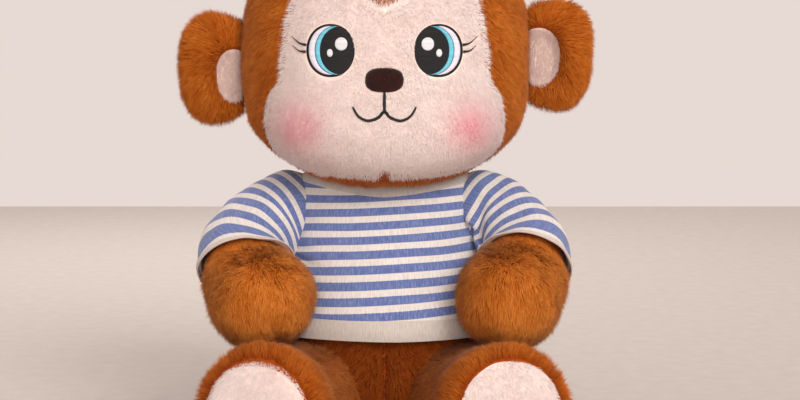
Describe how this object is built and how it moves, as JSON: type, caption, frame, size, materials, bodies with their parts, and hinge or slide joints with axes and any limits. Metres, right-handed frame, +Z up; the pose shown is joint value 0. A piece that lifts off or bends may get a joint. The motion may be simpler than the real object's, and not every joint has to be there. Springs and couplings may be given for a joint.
{
  "type": "stuffed monkey",
  "caption": "Sitting plush monkey in a striped T-shirt, with an embroidered face, round ears and a soft tail.",
  "frame": {"origin": "middle of the flat seat, on the floor", "axes": "+Z up, the monkey faces -Y, its own left side is +X"},
  "size_m": [0.328, 0.3369, 0.423],
  "materials": {
    "brown_plush": "long soft pile, matt",
    "cream_plush": "short dense pile, matt",
    "stuffing": "loose fibre",
    "shirt_jersey": "knit jersey with blue and white stripes",
    "shirt_rib": "white ribbed knit",
    "black_thread": "satin stitch, slight sheen",
    "white_thread": "satin stitch, slight sheen",
    "blue_thread": "satin stitch, slight sheen",
    "nose_velvet": "short velvet pile"
  },
  "bodies": {
    "torso": {"torso_skin": "brown_plush", "torso_stuffing": "stuffing", "shirt_body": "shirt_jersey", "shirt_hem": "shirt_rib", "shirt_collar": "shirt_rib"},
    "neck": {"neck_plug": "stuffing"},
    "head": {"head_skin": "brown_plush", "face_panel": "cream_plush", "head_stuffing": "stuffing", "nose": "nose_velvet", "smile": "black_thread", "eye_black_left": "black_thread", "eye_white_left": "white_thread", "eye_blue_left": "blue_thread", "eye_glint_big_left": "white_thread", "eye_glint_small_left": "white_thread", "lash_1_left": "black_thread", "lash_2_left": "black_thread", "eye_black_right": "black_thread", "eye_white_right": "white_thread", "eye_blue_right": "blue_thread", "eye_glint_big_right": "white_thread", "eye_glint_small_right": "white_thread", "lash_1_right": "black_thread", "lash_2_right": "black_thread"},
    "left_ear": {"ear_skin_left": "brown_plush", "ear_panel_left": "cream_plush", "ear_stuffing_left": "stuffing"},
    "left_arm": {"arm_skin_left": "brown_plush", "arm_stuffing_left": "stuffing", "sleeve_left": "shirt_jersey", "cuff_left": "shirt_rib"},
    "left_leg": {"leg_skin_left": "brown_plush", "sole_pad_left": "cream_plush", "leg_stuffing_left": "stuffing"},
    "right_ear": {"ear_skin_right": "brown_plush", "ear_panel_right": "cream_plush", "ear_stuffing_right": "stuffing"},
    "right_arm": {"arm_skin_right": "brown_plush", "arm_stuffing_right": "stuffing", "sleeve_right": "shirt_jersey", "cuff_right": "shirt_rib"},
    "right_leg": {"leg_skin_right": "brown_plush", "sole_pad_right": "cream_plush", "leg_stuffing_right": "stuffing"},
    "tail": {"tail_skin": "brown_plush", "tail_stuffing": "stuffing"}
  },
  "joints": [
    {"name": "neck_turn", "type": "hinge", "parent": "torso", "child": "neck", "pos_m": [0, 0, 0.219], "axis": [0, 0, 1], "range_deg": [-35, 35]},
    {"name": "head_nod", "type": "hinge", "parent": "neck", "child": "head", "pos_m": [0, 0, 0.219], "axis": [1, 0, 0], "range_deg": [-7, 3], "stiffness_Nm_per_rad": 1.2},
    {"name": "left_ear_fold", "type": "hinge", "parent": "head", "child": "left_ear", "pos_m": [0.126, 0, 0.32], "axis": [0, 0, -1], "range_deg": [-25, 25], "stiffness_Nm_per_rad": 0.03},
    {"name": "left_arm_open", "type": "hinge", "parent": "torso", "child": "left_arm", "pos_m": [0.08, -0.004, 0.191], "axis": [0, 0, 1], "range_deg": [0, 42]},
    {"name": "left_leg_spread", "type": "hinge", "parent": "torso", "child": "left_leg", "pos_m": [0.056, -0.042, 0.0446], "axis": [0, 0, 1], "range_deg": [0, 25]},
    {"name": "right_ear_fold", "type": "hinge", "parent": "head", "child": "right_ear", "pos_m": [-0.126, 0, 0.3095], "axis": [0, 0, 1], "range_deg": [-25, 25], "stiffness_Nm_per_rad": 0.03},
    {"name": "right_arm_open", "type": "hinge", "parent": "torso", "child": "right_arm", "pos_m": [-0.08, -0.004, 0.191], "axis": [0, 0, -1], "range_deg": [0, 42]},
    {"name": "right_leg_spread", "type": "hinge", "parent": "torso", "child": "right_leg", "pos_m": [-0.056, -0.042, 0.0446], "axis": [0, 0, -1], "range_deg": [0, 25]},
    {"name": "tail_sway", "type": "hinge", "parent": "torso", "child": "tail", "pos_m": [0, 0.068, 0.027], "axis": [0, 0, 1], "range_deg": [-30, 30]}
  ]
}
